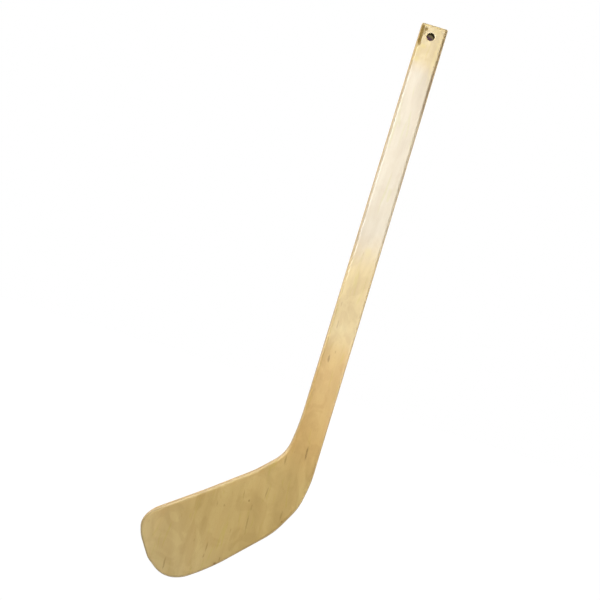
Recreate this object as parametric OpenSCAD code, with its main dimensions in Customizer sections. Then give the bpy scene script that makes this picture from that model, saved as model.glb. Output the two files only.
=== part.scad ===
// Cut-out plywood hockey stick, child's size.
// A nine-ply birch board, sawn to the outline of a stick, drilled once for
// hanging and rounded over along every edge.
//
// The stick stands in the X-Z plane: +Z runs up the shaft to the butt, -X is
// the side the blade reaches to, -Y is the front face and +Y the back face.
// The origin is the centre of the hanging hole, halfway through the board.

/* [Board] */
// Thickness of each of the two face veneers, sanded
face_t = 1.1; // [0.8:0.1:1.4]
// Thickness of each of the seven inner veneers
ply_t = 1.4; // [1.2:0.05:1.6]

/* [Shaft] */
// Hole centre to where the shaft begins to bend into the heel
shaft_l = 411; // [250:1:700]
// Width of the shaft at the hole
shaft_w_top = 27.2; // [24:0.1:30]
// Width of the shaft where it meets the heel
shaft_w_heel = 28.8; // [26:0.1:31]
// Radius of the two corners of the butt end, seen from the front
butt_corner_r = 1.8; // [1:0.1:8]

/* [Blade] */
// How far the toe reaches from the line of the hole
blade_reach = 138; // [125:1:155]
// How far the sole lies below the start of the heel
blade_drop = 187; // [175:0.5:205]

/* [Edges] */
// Radius of the round-over along every edge
edge_r = 3.0; // [1.5:0.1:3.2]

/* [Hanging hole] */
// Diameter of the hole
hole_d = 8; // [5:0.5:10]
// Distance from the butt end to the centre of the hole
hole_in = 12.5; // [10:0.5:25]
// Distance of the shaft's centre line from the hole, towards the heel side
hole_off = 1.5; // [-2:0.1:2]

/* [Hidden] */

// Largest turn, in degrees, between two neighbouring points on a curve
turn_step = 7.5;
// Steps the round-over takes across one veneer
round_steps = 4;

board_t = 2 * face_t + 7 * ply_t;

// ---- Outline -----------------------------------------------------------
// The outline is a chain of straight lines, each corner replaced by an arc
// of its own radius that touches both lines: [x, z, radius], starting at the
// butt and going down the blade side, round the toe and back up the heel.
// Blade corners are given for a reach of 138 and a drop of 187, measured
// down from the start of the heel.

kx = blade_reach / 138;
kz = blade_drop / 187;

// The shaft's centre line at the heel, a touch further out than at the butt
heel_off = hole_off + 0.2;

function blade_corner(x, z, r) = [x * kx, -shaft_l - z * kz, r * min(kx, kz) * 0.98];

corners = [
    [hole_off - shaft_w_top / 2, hole_in, butt_corner_r],
    [heel_off - shaft_w_heel / 2, -shaft_l, 240],   // shaft into the inner heel
    blade_corner(-17,     33,    40),   // inner heel
    blade_corner(-42,     58,    70),   // inner heel into the top edge
    blade_corner(-85,     92,   150),   // middle of the top edge
    blade_corner(-130.5, 126,    38),   // top edge into the toe
    blade_corner(-138,   139,    17),   // toe, foremost point
    blade_corner(-133.5, 153.5,  38),   // toe
    blade_corner(-120,   173.5,  24),   // toe into the sole
    blade_corner(-101.5, 187,    27),   // lowest point of the sole
    blade_corner(-82,    183.5,  37),   // sole
    blade_corner(-56.5,  165,   230),   // straight of the sole
    blade_corner(-5.5,   113,    90),   // sole into the heel
    [11.5, -shaft_l - 81 * kz,   60],   // heel
    [heel_off + shaft_w_heel / 2, -shaft_l - 54 * kz, 120], // heel into the shaft
    [hole_off + shaft_w_top / 2, hole_in, butt_corner_r]
];

function unit(v) = v / norm(v);
function at(list, i) = list[(i + len(list)) % len(list)];
function xz(c) = [c[0], c[1]];

// Points along the arc that replaces corner i of the outline pulled in by d,
// each as [x, z].  side is +1 where the outline turns left (outwards) and -1
// where it turns right (into the inner heel).  A corner with less radius than
// the outline is pulled in by becomes a mitre with its tip barely rounded.
function arc(i, d) =
    let (p = xz(at(corners, i - 1)), c = xz(corners[i]), q = xz(at(corners, i + 1)),
         u = unit(p - c), w = unit(q - c),
         half = acos(max(-1, min(1, u * w))) / 2,
         side = (u[0] * w[1] - u[1] * w[0]) < 0 ? 1 : -1,
         r = max(corners[i][2] - side * d, 0.6),
         centre = c + unit(u + w) * (r + side * d) / sin(half),
         start = atan2(side * u[0], -side * u[1]),
         sweep = side * (180 - 2 * half),
         n = max(1, ceil((180 - 2 * half) / turn_step)))
    [for (k = [0 : n])
        let (t = start + sweep * k / n)
        centre + r * [cos(t), sin(t)]];

// The outline pulled in by a distance d
function pulled_in(d) = [for (i = [0 : len(corners) - 1]) each arc(i, d)];

outline = pulled_in(0);

// ---- Round-over --------------------------------------------------------
// Angle round the edge at a depth below the nearer face: 90 on the face,
// 0 on the side wall, and how far the outline is pulled in at that angle.
function edge_angle(depth) = asin(max(0, min(1, 1 - depth / edge_r)));
function edge_inset(a) = edge_r * (1 - cos(a));
function edge_depth(a) = edge_r * (1 - sin(a));

// The flat of a ply as triangles between its two long edges: they start at
// the butt and step down to the tip of the toe, always over the shorter rung.
n = len(outline);
from_hole = [for (p = outline) norm(p)];
tip = search(max(from_hole), from_hole)[0];
function rung(i, j) = norm(outline[i] - outline[j]);
function ladder(i, j) =
    i + 1 >= j ? [] :
    i < tip && (j - 1 <= tip || rung(i + 1, j) <= rung(i, j - 1))
        ? concat([[i, i + 1, j]], ladder(i + 1, j))
        : concat([[i, j - 1, j]], ladder(i, j - 1));
cap = ladder(0, n - 1);

// ---- Plies -------------------------------------------------------------
// Plies are numbered 0 to 8 from the front face to the back face.
function ply_thick(i) = (i == 0 || i == 8) ? face_t : ply_t;
function ply_front(i) = i == 0 ? 0 : face_t + (i - 1) * ply_t;

// Stands a shape drawn in X-Z and built up along Z into the stick's place:
// depth 0 is the front face and depth board_t the back face.
module stood_up() {
    translate([0, -board_t / 2, 0]) rotate([90, 0, 0]) mirror([0, 0, 1]) children();
}

module hanging_bore() {
    translate([0, 0, -1]) cylinder(d = hole_d, h = board_t + 2, $fn = 64);
}

// A ply whose edge is the straight side wall of the board
module straight_ply(i) {
    stood_up() difference() {
        translate([0, 0, ply_front(i)])
            linear_extrude(height = ply_thick(i)) polygon(pulled_in(0));
        hanging_bore();
    }
}

// A ply whose edge follows the round-over, given as the board's front half;
// layers are rings of the outline, one above the other.
module rounded_slab(i) {
    d0 = ply_front(i);
    d1 = d0 + ply_thick(i);
    a0 = edge_angle(d0);
    a1 = edge_angle(d1);
    rings = [for (k = [0 : round_steps])
        let (a = a0 + (a1 - a0) * k / round_steps,
             depth = k == 0 ? d0 : k == round_steps ? d1 : edge_depth(a))
        [for (p = pulled_in(edge_inset(a))) [p[0], p[1], depth]]];
    polyhedron(
        points = [for (ring = rings) each ring],
        faces = concat(
            cap,
            [for (f = cap) [for (m = [2 : -1 : 0]) round_steps * n + f[m]]],
            [for (k = [0 : round_steps - 1], j = [0 : n - 1])
                [k * n + j, (k + 1) * n + j, (k + 1) * n + (j + 1) % n]],
            [for (k = [0 : round_steps - 1], j = [0 : n - 1])
                [k * n + j, (k + 1) * n + (j + 1) % n, k * n + (j + 1) % n]]));
}

// front is true for plies 0 and 1, false for their mirror images at the back
module rounded_ply(i, front) {
    stood_up() difference() {
        if (front) rounded_slab(i);
        else translate([0, 0, board_t]) mirror([0, 0, 1]) rounded_slab(i);
        hanging_bore();
    }
}

module front_face_veneer()     { color("#E2CB98") rounded_ply(0, true); }
module front_crossband()       { color("#B98F5C") rounded_ply(1, true); }
module front_long_ply()        { color("#DBC08A") straight_ply(2); }
module front_inner_crossband() { color("#B58A57") straight_ply(3); }
module core_ply()              { color("#DEC48F") straight_ply(4); }
module back_inner_crossband()  { color("#B88D5A") straight_ply(5); }
module back_long_ply()         { color("#DABE88") straight_ply(6); }
module back_crossband()        { color("#B68B58") rounded_ply(1, false); }
module back_face_veneer()      { color("#E0C894") rounded_ply(0, false); }

front_face_veneer();
front_crossband();
front_long_ply();
front_inner_crossband();
core_ply();
back_inner_crossband();
back_long_ply();
back_crossband();
back_face_veneer();
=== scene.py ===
import math

import bmesh
import bpy
from mathutils import Matrix, Vector, noise
from mathutils.geometry import tessellate_polygon


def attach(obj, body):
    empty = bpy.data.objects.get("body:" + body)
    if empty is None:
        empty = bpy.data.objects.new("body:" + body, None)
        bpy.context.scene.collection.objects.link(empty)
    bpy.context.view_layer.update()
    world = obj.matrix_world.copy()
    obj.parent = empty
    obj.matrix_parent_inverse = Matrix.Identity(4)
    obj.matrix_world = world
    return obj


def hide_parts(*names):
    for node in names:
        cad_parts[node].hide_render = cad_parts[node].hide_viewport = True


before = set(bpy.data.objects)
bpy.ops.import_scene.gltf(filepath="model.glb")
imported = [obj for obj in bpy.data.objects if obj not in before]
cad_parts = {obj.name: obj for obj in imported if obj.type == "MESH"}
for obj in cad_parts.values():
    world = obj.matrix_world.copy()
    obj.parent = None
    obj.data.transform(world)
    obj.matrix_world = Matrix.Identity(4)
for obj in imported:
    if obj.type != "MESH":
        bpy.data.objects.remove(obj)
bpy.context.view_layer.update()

MM = 0.001

# --------------------------------------------------------------------------
# The board: the same outline as the CAD, at a finer step
# --------------------------------------------------------------------------
FACE_T, PLY_T = 1.1, 1.4
BOARD_T = 2 * FACE_T + 7 * PLY_T
SHAFT_L, HOLE_IN, HOLE_R, HOLE_OFF, EDGE_R = 411.0, 12.5, 4.0, 1.5, 3.0
W_TOP, W_HEEL, CORNER_R = 27.2, 28.8, 1.8
HEEL_OFF = HOLE_OFF + 0.2


def blade_corner(x, z, r):
    return (x, -SHAFT_L - z, r * 0.98)


CORNERS = [
    (HOLE_OFF - W_TOP / 2, HOLE_IN, CORNER_R),
    (HEEL_OFF - W_HEEL / 2, -SHAFT_L, 240),
    blade_corner(-17, 33, 40),
    blade_corner(-42, 58, 70),
    blade_corner(-85, 92, 150),
    blade_corner(-130.5, 126, 38),
    blade_corner(-138, 139, 17),
    blade_corner(-133.5, 153.5, 38),
    blade_corner(-120, 173.5, 24),
    blade_corner(-101.5, 187, 27),
    blade_corner(-82, 183.5, 37),
    blade_corner(-56.5, 165, 230),
    blade_corner(-5.5, 113, 90),
    (11.5, -SHAFT_L - 81, 60),
    (HEEL_OFF + W_HEEL / 2, -SHAFT_L - 54, 120),
    (HOLE_OFF + W_TOP / 2, HOLE_IN, CORNER_R),
]


class Spot:
    """A point of the board's edge, which can be drawn inwards."""

    def __init__(self, x, z, nx, nz, corner=None, turn=0.0):
        self.x, self.z, self.nx, self.nz = x, z, nx, nz
        self.corner, self.turn = corner, turn

    def drawn_in(self, d):
        if self.corner:  # a corner too tight for d becomes a mitre, its tip barely rounded
            c, bis, sin_half, r, side = self.corner
            r = max(r - side * d, 0.35)
            m = c + bis * ((r + side * d) / sin_half)
            return m.x + r * math.cos(self.turn), m.y + r * math.sin(self.turn)
        return self.x - d * self.nx, self.z - d * self.nz


def outline(step=1.1):
    """Spots round the board, never further apart than step round a curve and 3 times that on a straight, in mm."""
    n = len(CORNERS)
    arcs = []
    for i in range(n):
        p, c, q = (Vector(CORNERS[j % n][:2]) for j in (i - 1, i, i + 1))
        r = CORNERS[i][2]
        u, w = (p - c).normalized(), (q - c).normalized()
        half = math.acos(max(-1.0, min(1.0, u.dot(w)))) / 2
        side = 1 if u.x * w.y - u.y * w.x < 0 else -1
        bis = (u + w).normalized()
        centre = c + bis * (r / math.sin(half))
        start, turn = math.atan2(side * u.x, -side * u.y), math.pi - 2 * half
        m = max(2, math.ceil(turn * r / step), math.ceil(math.degrees(turn) / 6))
        arc = []
        for k in range(m + 1):
            t = start + side * turn * k / m
            d = (math.cos(t), math.sin(t))
            arc.append(Spot(centre.x + r * d[0], centre.y + r * d[1], side * d[0], side * d[1], (c, bis, math.sin(half), r, side), t))
        arcs.append(arc)
    spots = []
    for i in range(n):
        spots += arcs[i]
        a, b = arcs[i][-1], arcs[(i + 1) % n][0]
        gap = math.hypot(b.x - a.x, b.z - a.z)
        m = int(gap / (3 * step))
        for k in range(1, m):
            t = k / m
            spots.append(Spot(a.x + (b.x - a.x) * t, a.z + (b.z - a.z) * t, a.nx, a.nz))
    out = []
    for p in spots:
        if not out or math.hypot(p.x - out[-1].x, p.z - out[-1].z) > 0.02:
            out.append(p)
    return out


OUT = outline()


def sanded(p):
    """How hand sanding changes the board at this point of its edge: (how far the wall lies in, radius of the round-over)."""
    x, z = p.x, p.z
    top = max(0.0, p.nz) * min(1.0, max(0.0, (-10 - x) / 25)) * (1.0 if z < -400 else 0.0)
    wave = 0.10 * noise.noise(Vector((x * 0.025, z * 0.025, 3.1))) + 0.03 * noise.noise(Vector((x * 0.12, z * 0.12, 7.7)))
    r = EDGE_R + 0.4 * top + 0.28 * noise.noise(Vector((x * 0.02, z * 0.02, 11.3))) + 0.12 * noise.noise(Vector((x * 0.09, z * 0.09, 5.9)))
    return wave, min(4.0, max(2.4, r))


SANDED = [sanded(p) for p in OUT]


def inset(depth, r):
    """How far the round-over draws the edge in at a depth below the nearer face."""
    if depth >= r:
        return 0.0
    return r - math.sqrt(max(0.0, r * r - (r - depth) ** 2))


def ply(name, index, cross):
    """One veneer as a closed solid: its sawn and rounded edge, its two flats and the wall of the hole. Index 0 is the front face, 8 the back face."""
    back = index > 4
    i = 8 - index if back else index
    d0 = 0.0 if i == 0 else FACE_T + (i - 1) * PLY_T
    t = FACE_T if i == 0 else PLY_T
    d1 = d0 + t
    seed = 17.0 * index + 2.0

    # rings of (depth, extra inset) per outline point, from the outer flat to the inner one
    if i == 0:
        steps = [k / 9 for k in range(10)]
    else:
        steps = [0.0, 0.045, 0.16, 0.36, 0.64, 0.84, 0.955, 1.0]
    rings = []
    if i == 0:  # a narrow flat border keeps the shading of the flat true
        rings.append([(*p.drawn_in(r + w + 0.45), 0.0) for p, (w, r) in zip(OUT, SANDED)])
    for k, f in enumerate(steps):
        ring = []
        for p, (w, r) in zip(OUT, SANDED):
            if i == 0:
                a1 = math.asin(max(0.0, 1 - d1 / r))
                a = math.pi / 2 + (a1 - math.pi / 2) * f
                depth = d1 if k == len(steps) - 1 else r * (1 - math.sin(a))
                pull = r * (1 - math.cos(a))
            else:
                depth = d0 + t * f
                pull = inset(depth, r)
            pull += w
            last = k == len(steps) - 1
            if (k == 0 and i > 0) or last:
                pull += 0.028  # the glue line, a hair below the wood
            elif cross:
                pull += 0.010 + 0.014 * noise.noise(Vector((p.x * 0.7, p.z * 0.7, seed)))
            elif i > 0:
                pull += 0.006 * noise.noise(Vector((p.x * 0.3, p.z * 0.3, seed)))
            ring.append((*p.drawn_in(pull), depth))
        rings.append(ring)

    # the wall of the drilled hole, softened where it meets a face
    turns = 96
    hole_steps = [0.0, 0.08, 0.2, 0.38, 0.62, 1.0] if i == 0 else [0.0, 0.3, 0.7, 1.0]
    holes = []
    if i == 0:
        holes.append([(5.0 * math.cos(2 * math.pi * j / turns), 5.0 * math.sin(2 * math.pi * j / turns), 0.0) for j in range(turns)])
    for f in hole_steps:
        ring = []
        for j in range(turns):
            a = 2 * math.pi * j / turns
            c, s = math.cos(a), math.sin(a)
            depth = d0 + t * f
            rim = 0.17 + 0.06 * noise.noise(Vector((c * 1.7, s * 1.7, seed)))
            r = HOLE_R + max(0.0, inset(depth, rim))
            if cross and 0 < f < 1:
                r -= 0.012 + 0.02 * noise.noise(Vector((c * 6, s * 6, seed)))
            ring.append((r * c, r * s, depth))
        holes.append(ring)

    bm = bmesh.new()

    def put(q):
        y = -BOARD_T / 2 + q[2]
        return bm.verts.new((q[0] * MM, (-y if back else y) * MM, q[1] * MM))

    outer = [[put(q) for q in ring] for ring in rings]
    inner = [[put(q) for q in ring] for ring in holes]
    for stack in (outer, inner):
        for a, b in zip(stack, stack[1:]):
            m = len(a)
            for j in range(m):
                bm.faces.new((a[j], a[(j + 1) % m], b[(j + 1) % m], b[j]))
    for k in (0, -1):
        flat = [v for v in outer[k]] + [v for v in inner[k]]
        loops = [[Vector((v.co.x, v.co.z, 0)) for v in outer[k]], [Vector((v.co.x, v.co.z, 0)) for v in inner[k]]]
        for tri in tessellate_polygon(loops):
            vs = [flat[a] for a in tri]
            if len(set(vs)) == 3:
                try:
                    bm.faces.new(vs)
                except ValueError:
                    pass
    bmesh.ops.recalc_face_normals(bm, faces=bm.faces)
    mesh = bpy.data.meshes.new(name)
    bm.to_mesh(mesh)
    bm.free()
    for f in mesh.polygons:
        f.use_smooth = True
    mesh.set_sharp_from_angle(angle=math.radians(32))
    obj = bpy.data.objects.new(name, mesh)
    bpy.context.scene.collection.objects.link(obj)
    return obj


# --------------------------------------------------------------------------
# Wood
# --------------------------------------------------------------------------
class Nodes:
    """A short way to write a material's nodes."""

    def __init__(self, material):
        material.use_nodes = True
        self.tree = material.node_tree
        self.tree.nodes.clear()
        self.x = 0

    def node(self, kind, **settings):
        n = self.tree.nodes.new(kind)
        n.location = (self.x, 0)
        self.x += 180
        for k, v in settings.items():
            setattr(n, k, v)
        return n

    def link(self, a, b):
        if isinstance(a, (int, float)):
            b.default_value = a
        elif isinstance(a, (tuple, list)):
            b.default_value = a
        else:
            self.tree.links.new(a, b)

    def math(self, op, a, b=0.0, c=0.0, clamp=False):
        n = self.node("ShaderNodeMath", operation=op, use_clamp=clamp)
        self.link(a, n.inputs[0])
        self.link(b, n.inputs[1])
        self.link(c, n.inputs[2])
        return n.outputs[0]

    def ramp(self, value, lo, hi, out_lo=0.0, out_hi=1.0, smooth=True):
        n = self.node("ShaderNodeMapRange", interpolation_type="SMOOTHSTEP" if smooth else "LINEAR", clamp=True)
        self.link(value, n.inputs["Value"])
        for k, v in (("From Min", lo), ("From Max", hi), ("To Min", out_lo), ("To Max", out_hi)):
            n.inputs[k].default_value = v
        return n.outputs["Result"]

    def mix(self, f, a, b, blend="MIX"):
        n = self.node("ShaderNodeMix", data_type="RGBA", blend_type=blend)
        self.link(f, n.inputs[0])
        self.link(a if not isinstance(a, tuple) or len(a) == 4 else (*a, 1.0), n.inputs[6])
        self.link(b if not isinstance(b, tuple) or len(b) == 4 else (*b, 1.0), n.inputs[7])
        return n.outputs[2]

    def mapping(self, vec, scale=(1, 1, 1), loc=(0, 0, 0), rot=(0, 0, 0)):
        n = self.node("ShaderNodeMapping", vector_type="POINT")
        self.link(vec, n.inputs["Vector"])
        n.inputs["Scale"].default_value = scale
        n.inputs["Location"].default_value = loc
        n.inputs["Rotation"].default_value = rot
        return n.outputs[0]

    def noise(self, vec, scale, detail=3.0, rough=0.5, distort=0.0, out="Fac"):
        n = self.node("ShaderNodeTexNoise", noise_dimensions="3D")
        self.link(vec, n.inputs["Vector"])
        n.inputs["Scale"].default_value = scale
        n.inputs["Detail"].default_value = detail
        n.inputs["Roughness"].default_value = rough
        n.inputs["Distortion"].default_value = distort
        return n.outputs[0 if out == "Fac" else 1]

    def vmath(self, op, a, b=(0, 0, 0)):
        n = self.node("ShaderNodeVectorMath", operation=op)
        self.link(a, n.inputs[0])
        self.link(b, n.inputs[1])
        return n.outputs["Value" if op in ("LENGTH", "DOT_PRODUCT") else 0]


def shade(material, n, colour, rough, height, coat, coat_rough, bump, specular=0.5):
    b = n.node("ShaderNodeBsdfPrincipled")
    n.link(colour, b.inputs["Base Color"])
    n.link(rough, b.inputs["Roughness"])
    b.inputs["IOR"].default_value = 1.45
    b.inputs["Specular IOR Level"].default_value = specular
    n.link(coat, b.inputs["Coat Weight"])
    b.inputs["Coat Roughness"].default_value = coat_rough
    b.inputs["Coat IOR"].default_value = 1.65
    if height is not None:
        k = n.node("ShaderNodeBump")
        k.inputs["Strength"].default_value = 1.0
        k.inputs["Distance"].default_value = bump
        n.link(height, k.inputs["Height"])
        n.link(k.outputs[0], b.inputs["Normal"])
        n.link(k.outputs[0], b.inputs["Coat Normal"])
    out = n.node("ShaderNodeOutputMaterial")
    n.link(b.outputs[0], out.inputs["Surface"])
    return b


def millimetres(n):
    """Object coordinates in mm."""
    tc = n.node("ShaderNodeTexCoord")
    return n.vmath("MULTIPLY", tc.outputs["Object"], (1000, 1000, 1000))


def bore_wall_with_painted_shade(n, colour):
    """The drilled wall is bare, greyed wood, and its colour is also darkened as painted shade of the deep hole, darker
    than the lacquered faces.
    """
    place = millimetres(n)
    near = n.ramp(n.vmath("LENGTH", n.vmath("MULTIPLY", place, (1, 0, 1))), 4.22, 4.03)
    grime_and_painted_shade = n.noise(n.mapping(place, (0.9, 0.5, 0.9)), 1.0, 3.0, 0.6)
    return n.mix(near, colour, n.mix(grime_and_painted_shade, (0.085, 0.068, 0.026), (0.150, 0.118, 0.050)))


def side_amount(n):
    """0 on the board's two faces, 1 on its edges."""
    g = n.node("ShaderNodeNewGeometry")
    s = n.node("ShaderNodeSeparateXYZ")
    n.link(g.outputs["Normal"], s.inputs[0])
    return n.math("SUBTRACT", 1.0, n.math("ABSOLUTE", s.outputs["Y"]), clamp=True)


# Flecks in the front face veneer: (x, z, half length, half width, lean from +Z in degrees, darkness)
FLECKS = [
    (2.7, -437.0, 7.5, 0.95, 3, 0.95),
    (-15.6, -449.0, 4.7, 0.85, 2, 0.75),
    (-5.1, -304.0, 4.5, 0.8, 1, 0.50),
    (-7.3, -283.0, 3.0, 0.6, 0, 0.45),
    (-3.8, -339.0, 3.8, 1.1, 2, 0.85),
    (1.0, -331.0, 2.0, 0.6, 0, 0.40),
    (-38.8, -499.0, 1.3, 1.0, 0, 0.90),
    (-34.4, -505.0, 3.2, 0.6, 2, 0.50),
    (-34.1, -522.0, 10.3, 0.8, 4, 0.55),
    (-45.5, -495.0, 6.0, 0.7, 6, 0.45),
    (-24.2, -487.0, 6.7, 0.7, -2, 0.50),
    (-3.5, -505.0, 5.8, 0.8, 1, 0.50),
    (-1.4, -510.0, 1.2, 0.9, 0, 0.80),
    (-68.6, -511.0, 2.6, 0.6, 0, 0.40),
    (-61.1, -511.0, 1.5, 0.7, 0, 0.55),
    (-50.3, -564.0, 2.4, 0.7, 0, 0.50),
    (-53.6, -570.0, 2.0, 1.6, 0, 0.95),
    (-66.2, -556.0, 5.7, 0.8, 0, 0.60),
    (-66.6, -565.5, 2.4, 0.7, 0, 0.55),
    (-102.2, -584.0, 7.0, 0.8, 2, 0.55),
    (-80.0, -553.0, 2.0, 0.6, 0, 0.35),
]


def face_veneer(name, seed, flecked):
    m = bpy.data.materials.new(name)
    n = Nodes(m)
    mm = millimetres(n)
    moved = n.vmath("ADD", mm, (seed * 31.0, 0, seed * 57.0))

    # broad, cloudy figure of a peeled log, drawn out along the shaft
    drift = n.noise(n.mapping(moved, (0.02, 0.02, 0.004)), 1.0, 2.0, 0.5, out="Color")
    bent = n.vmath("ADD", n.mapping(moved, (0.05, 0.05, 0.014)), n.vmath("MULTIPLY", drift, (2.4, 2.4, 2.4)))
    cloud = n.noise(bent, 1.0, 3.0, 0.55)
    flame = n.noise(n.mapping(moved, (0.10, 0.10, 0.020)), 1.0, 4.0, 0.6, 0.5)
    # fibres
    fibre = n.noise(n.mapping(moved, (1.9, 1.9, 0.035)), 1.0, 4.0, 0.65)
    fine = n.noise(n.mapping(moved, (6.5, 6.5, 0.16)), 1.0, 2.0, 0.5)
    # vessels: short fine dashes
    pores = n.noise(n.mapping(moved, (3.4, 3.4, 0.30)), 1.0, 1.0, 0.5)
    pore = n.ramp(pores, 0.66, 0.76)
    # scattered small pith flecks
    scatter = n.noise(n.mapping(moved, (0.62, 0.62, 0.105)), 1.0, 1.5, 0.5)
    small = n.ramp(scatter, 0.735, 0.80)

    pale, deep, warm = (0.545, 0.396, 0.150), (0.459, 0.320, 0.109), (0.515, 0.347, 0.121)
    colour = n.mix(n.ramp(cloud, 0.30, 0.72), pale, deep)
    colour = n.mix(n.math("MULTIPLY", n.ramp(flame, 0.45, 0.75), 0.50), colour, warm)
    if flecked:
        # slow changes of tone along the board: a paler, bluer tint painted on the upper shaft as painted sheen, ruddy
        # wood into the heel, and a paler, bluer tint painted at the toe as painted reflection
        where = n.node("ShaderNodeSeparateXYZ")
        n.link(n.vmath("ADD", mm, n.vmath("MULTIPLY", n.vmath("SUBTRACT", drift, (0.5, 0.5, 0.5)), (30, 0, 60))), where.inputs[0])
        z = where.outputs["Z"]
        # painted sheen: the upper shaft, where the lacquer's sheen falls, is whitened in its colour
        painted_sheen_tint = n.math("MULTIPLY", n.ramp(z, -245, -195), n.ramp(z, -25, -45))
        colour = n.mix(painted_sheen_tint, colour, n.mix(1.0, colour, (0.765, 0.885, 1.55), "MULTIPLY"))
        middle = n.math("MULTIPLY", n.ramp(z, -325, -300), n.ramp(z, -200, -235))
        colour = n.mix(middle, colour, n.mix(1.0, colour, (1.0, 1.04, 1.12), "MULTIPLY"))
        patch = n.math("MULTIPLY", n.ramp(z, -330, -316), n.ramp(z, -294, -306))
        colour = n.mix(patch, colour, n.mix(1.0, colour, (1.05, 1.09, 1.20), "MULTIPLY"))
        ruddy = n.math("MULTIPLY", n.ramp(z, -480, -420), n.ramp(z, -290, -360))
        colour = n.mix(ruddy, colour, n.mix(1.0, colour, (1.08, 1.00, 0.96), "MULTIPLY"))
        butt = n.ramp(z, -45, -25)
        colour = n.mix(butt, colour, n.mix(1.0, colour, (0.88, 0.94, 1.08), "MULTIPLY"))
        # painted reflection: the toe is whitened in its colour where the lacquer reflects light
        toe_painted_reflection = n.ramp(n.math("ADD", where.outputs["X"], z), -580, -690)
        colour = n.mix(toe_painted_reflection, colour, n.mix(1.0, colour, (1.16, 1.22, 1.50), "MULTIPLY"))
    # the blotches are weakened under the painted sheen
    calm = n.math("SUBTRACT", 1.0, n.math("MULTIPLY", painted_sheen_tint, 0.6)) if flecked else 0.8
    # blotches where the knife met wavy grain, and a few yellow-green streaks
    wavy = n.vmath("ADD", n.mapping(moved, (0.050, 0.050, 0.040)), n.vmath("MULTIPLY", drift, (3.0, 3.0, 1.6)))
    blotch = n.noise(wavy, 1.0, 2.5, 0.5, 1.2)
    colour = n.mix(n.math("MULTIPLY", n.ramp(blotch, 0.45, 0.59, 0.0, 0.70), calm), colour, n.mix(1.0, colour, (0.90, 0.875, 0.82), "MULTIPLY"))
    streak = n.noise(n.mapping(moved, (0.19, 0.19, 0.022)), 1.0, 2.0, 0.55, 0.8)
    colour = n.mix(n.ramp(streak, 0.60, 0.68, 0.0, 0.8), colour, n.mix(1.0, colour, (0.95, 0.99, 0.78), "MULTIPLY"))
    colour = n.mix(n.ramp(fibre, 0.25, 0.8, 0.0, 0.24, False), colour, n.mix(1.0, colour, (0.80, 0.74, 0.66), "MULTIPLY"))
    colour = n.mix(n.ramp(fine, 0.3, 0.8, 0.0, 0.20, False), colour, n.mix(1.0, colour, (0.84, 0.80, 0.74), "MULTIPLY"))
    colour = n.mix(n.math("MULTIPLY", pore, 0.30), colour, n.mix(1.0, colour, (0.62, 0.52, 0.42), "MULTIPLY"))
    colour = n.mix(n.math("MULTIPLY", small, 0.34), colour, n.mix(1.0, colour, (0.60, 0.46, 0.34), "MULTIPLY"))

    marks, worn = None, 1.0
    if flecked:
        wob = n.noise(n.mapping(mm, (0.9, 0.9, 0.22)), 1.0, 2.0, 0.5, out="Color")
        wob = n.vmath("MULTIPLY", n.vmath("SUBTRACT", wob, (0.5, 0.5, 0.5)), (1.6, 0, 2.4))
        at = n.vmath("ADD", mm, wob)
        for x, z, hl, hw, lean, dark in FLECKS:
            v = n.vmath("MULTIPLY", n.vmath("SUBTRACT", at, (x, 0, z)), (1, 0, 1))
            v = n.mapping(v, (1, 1, 1), (0, 0, 0), (0, math.radians(lean), 0))
            v = n.vmath("MULTIPLY", v, (1 / hw, 0, 1 / hl))
            f = n.ramp(n.vmath("LENGTH", v), 0.45, 1.25, dark, 0.0)
            marks = f if marks is None else n.math("MAXIMUM", marks, f)
        grit = n.ramp(n.noise(n.mapping(mm, (2.4, 2.4, 0.5)), 1.0, 2.0, 0.6), 0.3, 0.6, 0.55, 1.0)
        colour = n.mix(n.math("MULTIPLY", marks, grit), colour, (0.235, 0.140, 0.036))

        # the stained streak beside the hole: a line down the edge with a hook at its top
        wob2 = n.noise(n.mapping(mm, (0.55, 0.55, 0.30)), 1.0, 3.0, 0.6, out="Color")
        wob2 = n.vmath("MULTIPLY", n.vmath("SUBTRACT", wob2, (0.5, 0.5, 0.5)), (2.2, 0, 4.0))
        at2 = n.vmath("ADD", mm, wob2)
        stain = None
        for x, z, hl, hw, lean, dark in (
            (-10.2, 4.6, 6.6, 2.3, 0, 1.0),
            (-9.8, -3.6, 7.0, 2.1, -3, 1.0),
            (-9.0, -9.0, 3.2, 1.6, 0, 0.85),
            (-6.4, 6.0, 2.3, 2.0, 14, 0.9),
            (-8.0, 2.6, 2.6, 2.2, 20, 0.7),
        ):
            v = n.vmath("MULTIPLY", n.vmath("SUBTRACT", at2, (x, 0, z)), (1, 0, 1))
            v = n.mapping(v, (1, 1, 1), (0, 0, 0), (0, math.radians(lean), 0))
            v = n.vmath("MULTIPLY", v, (1 / hw, 0, 1 / hl))
            f = n.ramp(n.vmath("LENGTH", v), 0.62, 1.22, dark, 0.0)
            stain = f if stain is None else n.math("MAXIMUM", stain, f)
        olive = None
        for x, z, hl, hw, dark in (
            (-4.7, -11.0, 2.6, 3.6, 0.85),
            (-7.9, -16.0, 6.0, 2.6, 0.55),
            (-7.9, -25.0, 3.4, 4.0, 0.70),
            (-6.8, 9.6, 1.6, 1.8, 0.95),
            (5.0, 7.0, 5.5, 5.0, 0.45),
            (10.5, -22.0, 26.0, 2.6, 0.45),
            (2.8, -226.0, 5.5, 4.0, 0.50),
        ):
            v = n.vmath("MULTIPLY", n.vmath("SUBTRACT", at2, (x, 0, z)), (1 / hw, 0, 1 / hl))
            f = n.ramp(n.vmath("LENGTH", v), 0.2, 1.4, dark, 0.0)
            olive = f if olive is None else n.math("MAXIMUM", olive, f)
        colour = n.mix(n.math("MULTIPLY", olive, 0.80), colour, (0.44, 0.335, 0.085))
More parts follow.
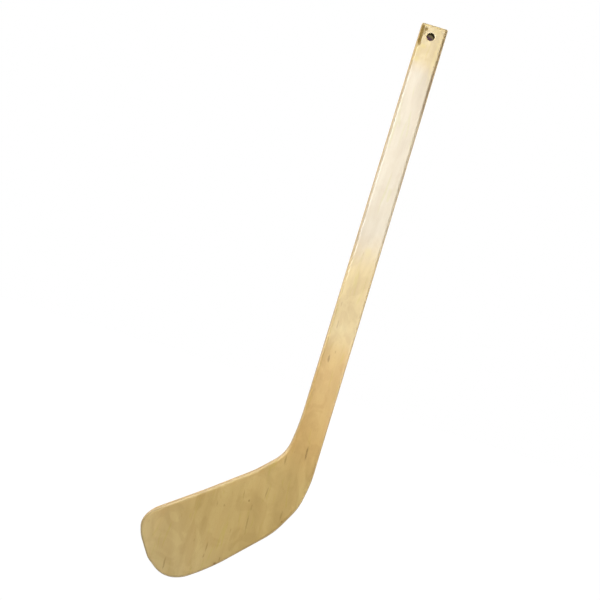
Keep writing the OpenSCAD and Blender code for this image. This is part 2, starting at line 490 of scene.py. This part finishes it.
        colour = n.mix(n.math("MULTIPLY", stain, 0.95), colour, (0.165, 0.100, 0.014))
        worn = n.math("SUBTRACT", 1.0, n.math("MULTIPLY", stain, 0.9), clamp=True)
        dot = n.ramp(n.vmath("LENGTH", n.vmath("MULTIPLY", n.vmath("SUBTRACT", mm, (11.7, 0, -28.3)), (1, 0, 1))), 0.4, 1.1, 0.6, 0.0)
        colour = n.mix(dot, colour, (0.18, 0.11, 0.05))

        # painted shade: the heel-side edge near the butt is darkened in its colour, where its round-over turns away
        # from the light
        w2 = n.node("ShaderNodeSeparateXYZ")
        n.link(at, w2.inputs[0])
        grime_and_painted_shade = n.math("MULTIPLY", n.ramp(w2.outputs["X"], 11.0, 13.6), n.ramp(w2.outputs["Z"], -95, -55))
        colour = n.mix(n.math("MULTIPLY", grime_and_painted_shade, 0.70), colour, (0.16, 0.10, 0.045))

    # rounded edges: sanded, a little darker where the fibres are cut short
    side = side_amount(n)
    colour = n.mix(n.ramp(side, 0.02, 0.8, 0.0, 0.05), colour, n.mix(1.0, colour, (0.80, 0.70, 0.60), "MULTIPLY"))

    if flecked:
        # painted shade: the upper-left rim of the toe is darkened in its colour, and its coat thinned, to dim its
        # highlight
        w3 = n.node("ShaderNodeSeparateXYZ")
        n.link(at, w3.inputs[0])
        toe_rim_painted_shade = n.math("MULTIPLY", n.ramp(side, 0.01, 0.14), n.ramp(w3.outputs["X"], -110, -126))
        colour = n.mix(toe_rim_painted_shade, colour, n.mix(1.0, colour, (0.70, 0.68, 0.62), "MULTIPLY"))
        worn = n.math("MULTIPLY", worn, n.ramp(toe_rim_painted_shade, 0.0, 1.0, 1.0, 0.45))

    height = n.math("ADD", n.math("MULTIPLY", fibre, 0.55), n.math("MULTIPLY", fine, 0.30))
    height = n.math("SUBTRACT", height, n.math("MULTIPLY", pore, 0.5))
    ripple = n.noise(n.mapping(moved, (0.09, 0.09, 0.03)), 1.0, 2.0, 0.5)
    height = n.math("ADD", height, n.math("MULTIPLY", ripple, 3.0))
    rough = n.ramp(fibre, 0.2, 0.8, 0.38, 0.52, False)
    if flecked:
        rough = n.math("MAXIMUM", rough, n.math("MULTIPLY", stain, 0.95))
    shade(m, n, bore_wall_with_painted_shade(n, colour), rough, height, worn, 0.06, 0.00001)
    return m


def edge_wood(name, seed, cross):
    """The edge of an inner veneer: long plies show streaks along the edge, cross plies show end grain."""
    m = bpy.data.materials.new(name)
    n = Nodes(m)
    mm = n.vmath("ADD", millimetres(n), (seed * 23.0, seed * 11.0, seed * 41.0))
    if cross:
        patch = n.noise(n.mapping(mm, (0.05, 0.4, 0.05)), 1.0, 3.0, 0.6)
        dots = n.noise(n.mapping(mm, (4.2, 3.0, 4.2)), 1.0, 2.0, 0.6)
        rays = n.noise(n.mapping(mm, (1.2, 0.4, 1.2)), 1.0, 3.0, 0.6)
        colour = n.mix(n.ramp(patch, 0.3, 0.7), (0.51, 0.375, 0.200), (0.41, 0.285, 0.140))
        colour = n.mix(n.ramp(rays, 0.3, 0.75, 0.0, 0.5), colour, (0.51, 0.375, 0.195))
        colour = n.mix(n.ramp(dots, 0.55, 0.75, 0.0, 0.6), colour, (0.15, 0.082, 0.032))
        height = n.math("SUBTRACT", n.math("MULTIPLY", rays, 0.6), n.math("MULTIPLY", n.ramp(dots, 0.5, 0.75), 1.0))
        rough = n.ramp(dots, 0.3, 0.7, 0.62, 0.80, False)
        shade(m, n, bore_wall_with_painted_shade(n, colour), rough, height, 0.0, 0.40, 0.000008, 0.15)
    else:
        fibre = n.noise(n.mapping(mm, (0.06, 3.2, 0.06)), 1.0, 4.0, 0.65)
        patch = n.noise(n.mapping(mm, (0.02, 0.25, 0.02)), 1.0, 3.0, 0.6)
        grit = n.noise(n.mapping(mm, (2.5, 5.0, 2.5)), 1.0, 2.0, 0.6)
        colour = n.mix(n.ramp(patch, 0.3, 0.7), (0.63, 0.44, 0.205), (0.52, 0.345, 0.145))
        colour = n.mix(n.ramp(fibre, 0.35, 0.8, 0.0, 0.5), colour, (0.42, 0.265, 0.105))
        colour = n.mix(n.ramp(grit, 0.5, 0.8, 0.0, 0.22), colour, (0.30, 0.18, 0.07))
        height = n.math("ADD", n.math("MULTIPLY", fibre, 0.8), n.math("MULTIPLY", grit, 0.3))
        rough = n.ramp(fibre, 0.3, 0.8, 0.58, 0.74, False)
        shade(m, n, bore_wall_with_painted_shade(n, colour), rough, height, 0.0, 0.40, 0.000008, 0.18)
    return m


PLIES = [
    ("front_face_veneer", "face_veneer", False),
    ("front_crossband", "cross_ply", True),
    ("front_long_ply", "long_ply", False),
    ("front_inner_crossband", "cross_ply", True),
    ("core_ply", "long_ply", False),
    ("back_inner_crossband", "cross_ply", True),
    ("back_long_ply", "long_ply", False),
    ("back_crossband", "cross_ply", True),
    ("back_face_veneer", "face_veneer", False),
]
for index, (node, slot, cross) in enumerate(PLIES):
    piece = ply("wood_" + node, index, cross)
    if slot == "face_veneer":
        mat = face_veneer("birch_" + node, 1.0 + 6 * (index > 4), index == 0)
    else:
        mat = edge_wood("birch_" + node, 1.0 + index, cross)
    piece.data.materials.append(mat)
    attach(piece, "root")
    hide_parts(node)


# A dark disc deep in the hole glows with its own painted colour: painted shade of the hole, with a paler olive crescent
# painted on its upper-right side for the lit bore wall
bm = bmesh.new()
bmesh.ops.create_circle(bm, cap_ends=True, segments=48, radius=3.9 * MM)
bmesh.ops.rotate(bm, verts=bm.verts, cent=(0, 0, 0), matrix=Matrix.Rotation(math.pi / 2, 3, "X"))
bmesh.ops.translate(bm, verts=bm.verts, vec=(0, 2.0 * MM, 0))
mesh = bpy.data.meshes.new("hole_shade")
bm.to_mesh(mesh)
bm.free()
shade_disc = bpy.data.objects.new("hole_shade", mesh)
bpy.context.scene.collection.objects.link(shade_disc)
m = bpy.data.materials.new("hole_shade")
n = Nodes(m)
b = n.node("ShaderNodeBsdfPrincipled")
place = millimetres(n)
speck = n.noise(place, 1.3, 3.0, 0.6)
# painted light: the disc's upper-right side glows olive as the lit wall of the bore, the rest glows dark as painted
# shade
far_side = n.math("ADD", n.vmath("DOT_PRODUCT", place, (0.35, 0.0, 0.94)), n.math("MULTIPLY", n.math("SUBTRACT", speck, 0.5), 1.6))
dark = n.mix(speck, (0.055, 0.022, 0.040), (0.085, 0.040, 0.060))
n.link(n.mix(n.ramp(far_side, 0.2, 2.4), dark, (0.150, 0.120, 0.052)), b.inputs["Emission Color"])
b.inputs["Emission Strength"].default_value = 1.0
b.inputs["Base Color"].default_value = (0.02, 0.015, 0.02, 1)
b.inputs["Specular IOR Level"].default_value = 0.0
b.inputs["Roughness"].default_value = 0.9
n.link(b.outputs[0], n.node("ShaderNodeOutputMaterial").inputs["Surface"])
mesh.materials.append(m)


# A plain white floor below the hanging stick
bm = bmesh.new()
bmesh.ops.create_grid(bm, x_segments=1, y_segments=1, size=4.0)
bmesh.ops.translate(bm, verts=bm.verts, vec=(0, 0, -0.72))
mesh = bpy.data.meshes.new("floor")
bm.to_mesh(mesh)
bm.free()
floor = bpy.data.objects.new("floor", mesh)
bpy.context.scene.collection.objects.link(floor)
m = bpy.data.materials.new("floor")
n = Nodes(m)
b = n.node("ShaderNodeBsdfPrincipled")
b.inputs["Base Color"].default_value = (0.02, 0.02, 0.02, 1)
b.inputs["Specular IOR Level"].default_value = 0.0
b.inputs["Emission Color"].default_value = (1, 1, 1, 1)
b.inputs["Emission Strength"].default_value = 1.0
n.link(b.outputs[0], n.node("ShaderNodeOutputMaterial").inputs["Surface"])
mesh.materials.append(m)
floor.visible_diffuse = floor.visible_glossy = floor.visible_shadow = False


# --------------------------------------------------------------------------
# Camera: square to the front face, rolled so that the shaft leans 17 degrees
# --------------------------------------------------------------------------
ROLL = math.radians(16.94)
FAR = 1.0
RIGHT = Vector((math.cos(ROLL), 0, math.sin(ROLL)))
UP = Vector((-math.sin(ROLL), 0, math.cos(ROLL)))
EYE = Vector((-0.0486, -0.003 - FAR, -0.2913))
cam_data = bpy.data.cameras.new("camera")
cam_data.sensor_width = 36.0
cam_data.lens = 36.0 * FAR / 0.605
cam_data.clip_start, cam_data.clip_end = 0.01, 50
cam = bpy.data.objects.new("camera", cam_data)
bpy.context.scene.collection.objects.link(cam)
basis = Matrix((RIGHT, UP, RIGHT.cross(UP))).transposed().to_4x4()
basis.translation = EYE
cam.matrix_world = basis
bpy.context.scene.camera = cam


def in_view(right, up, toward=0.0):
    """A point of the camera's own plane, or nearer the stick by toward, right and up of its axis, in metres."""
    return EYE + RIGHT * right + UP * up + Vector((0, toward, 0))


# --------------------------------------------------------------------------
# Studio
# --------------------------------------------------------------------------
def area(name, place, target, w, h, power, colour=(1, 1, 1)):
    d = bpy.data.lights.new(name, "AREA")
    d.shape = "RECTANGLE"
    d.size, d.size_y = w, h
    d.energy = power
    d.color = colour
    o = bpy.data.objects.new(name, d)
    bpy.context.scene.collection.objects.link(o)
    z = (Vector(place) - Vector(target)).normalized()
    x = UP.cross(z).normalized()
    y = z.cross(x)
    b = Matrix((x, y, z)).transposed().to_4x4()
    b.translation = place
    o.matrix_world = b
    o.visible_camera = False
    return o


# radiance of a one-sided area light is power / (pi * w * h)
def watts(radiance, w, h):
    return radiance * math.pi * w * h


class ShaderNodes(Nodes):
    """The same short hand for a light's or the world's own tree."""

    def __init__(self, tree):
        self.tree, self.x = tree, 0
        self.tree.nodes.clear()


def gradient_box(name, x0, x1, y0, y1, level):
    """A softbox in the camera's plane, square to it, between two distances to its right and two above it, in metres.
    level takes the nodes and the distances right and up of a point on it, in mm, and gives the radiance there."""
    w, h = x1 - x0, y1 - y0
    d = bpy.data.lights.new(name, "AREA")
    d.shape, d.size, d.size_y, d.energy = "RECTANGLE", w, h, watts(1.0, w, h)
    d.use_nodes = True
    n = ShaderNodes(d.node_tree)
    place = n.vmath("SUBTRACT", n.node("ShaderNodeNewGeometry").outputs["Position"], tuple(EYE))
    place = n.vmath("MULTIPLY", place, (1000, 1000, 1000))
    e = n.node("ShaderNodeEmission")
    n.link(level(n, n.vmath("DOT_PRODUCT", place, tuple(RIGHT)), n.vmath("DOT_PRODUCT", place, tuple(UP))), e.inputs["Strength"])
    n.link(e.outputs[0], n.node("ShaderNodeOutputLight").inputs["Surface"])
    o = bpy.data.objects.new(name, d)
    bpy.context.scene.collection.objects.link(o)
    basis = Matrix((RIGHT, UP, RIGHT.cross(UP))).transposed().to_4x4()
    basis.translation = in_view((x0 + x1) / 2, (y0 + y1) / 2)
    o.matrix_world = basis
    o.visible_camera = False


SHEEN = 4.5


def sheen_level(n, x, y):
    """Bright in the middle of the window, half as bright above and to the right of it, and fading out below."""
    inside = n.math("MULTIPLY", n.ramp(y, 470, 488, 1.0, 0.0), n.ramp(x, 236, 276, 1.0, 0.0))
    main = n.math("MULTIPLY", n.ramp(inside, 0.0, 1.0, 0.50, 1.0, False), 1.0)
    slant = n.math("ADD", y, n.math("MULTIPLY", n.math("SUBTRACT", x, 125), 0.45))
    main = n.math("MULTIPLY", main, n.ramp(slant, 35, 135, 0.46, 1.0))
    tail = n.ramp(slant, -185, -65, 0.0, 1.0)
    rest = n.ramp(slant, -330, -150, 0.0, 0.14)
    upper = n.ramp(y, 120, 480, 0.94, 1.22, False)
    return n.math("MULTIPLY", n.math("MAXIMUM", n.math("MULTIPLY", n.math("MULTIPLY", main, tail), upper), rest), SHEEN)


def near_level(n, x, y):
    """The window's edge next to the sheen, seen in the first few degrees of the left round-over."""
    return n.math("MULTIPLY", n.math("MULTIPLY", n.ramp(y, 20, 170), n.ramp(x, -300, -190)), 16.3)


def right_level(n, x, y):
    """A dimmer pane beyond the window's right edge, seen in the right round-over of the upper shaft."""
    return n.math("MULTIPLY", n.math("MULTIPLY", n.ramp(y, 400, 250), n.ramp(y, -420, -150)), n.math("MULTIPLY", n.ramp(x, 860, 380, 0.15, 1.0), 5.8))


def butt_level(n, x, y):
    """A pane above the window, seen in the round-over of the butt end."""
    return n.math("MULTIPLY", n.ramp(y, 620, 760), 3.0)


gradient_box("butt_pane", -0.10, 0.50, 0.62, 1.40, butt_level)
gradient_box("near_window", -0.30, -0.001, 0.0, 0.62, near_level)
gradient_box("right_window", 0.335, 0.90, -0.42, 0.42, right_level)
gradient_box("sheen", 0.0, 0.33, -0.36, 0.62, sheen_level)
area("key_right", in_view(0.36, -0.13, 0.60), in_view(0.03, -0.08, 1.0), 0.30, 0.36, watts(1.3, 0.30, 0.36))
area("rim_right", in_view(0.60, -0.10, 0.82), in_view(0.07, -0.02, 1.0), 0.16, 0.46, watts(3.0, 0.16, 0.46))
area("top_box", in_view(-0.10, 0.85, 0.70), in_view(0.02, 0.0, 1.0), 0.90, 0.50, watts(1.5, 0.90, 0.50))
area("rim_left", in_view(-0.40, 0.26, 0.86), in_view(0.09, 0.12, 1.0), 0.30, 0.44, watts(2.85, 0.30, 0.44))
# the back face has a softbox of its own
area("back_box", (0.45, 0.95, 0.10), (-0.03, 0.0, -0.28), 0.70, 0.90, watts(2.6, 0.70, 0.90))

world = bpy.data.worlds.new("studio")
bpy.context.scene.world = world
world.use_nodes = True


w = ShaderNodes(world.node_tree)
toward = w.node("ShaderNodeTexCoord").outputs["Generated"]
behind = w.ramp(w.vmath("DOT_PRODUCT", toward, (0, 1, 0)), -0.5, 0.15)
leftward = w.ramp(w.vmath("DOT_PRODUCT", toward, tuple(-RIGHT)), -0.2, 1.0)
ahead = w.math("MULTIPLY", w.math("SUBTRACT", 1.0, behind), w.math("ADD", w.math("MULTIPLY", leftward, 0.25), 0.02))
level = w.math("ADD", w.math("MULTIPLY", behind, 1.12), ahead)
lit = w.node("ShaderNodeBackground")
w.link(level, lit.inputs["Strength"])
seen = w.node("ShaderNodeBackground")
seen.inputs["Color"].default_value = (1, 1, 1, 1)
path = w.node("ShaderNodeLightPath")
mixer = w.node("ShaderNodeMixShader")
w.link(path.outputs["Is Camera Ray"], mixer.inputs[0])
w.link(lit.outputs[0], mixer.inputs[1])
w.link(seen.outputs[0], mixer.inputs[2])
w.link(mixer.outputs[0], w.node("ShaderNodeOutputWorld").inputs["Surface"])

bpy.context.scene.view_settings.view_transform = "Standard"
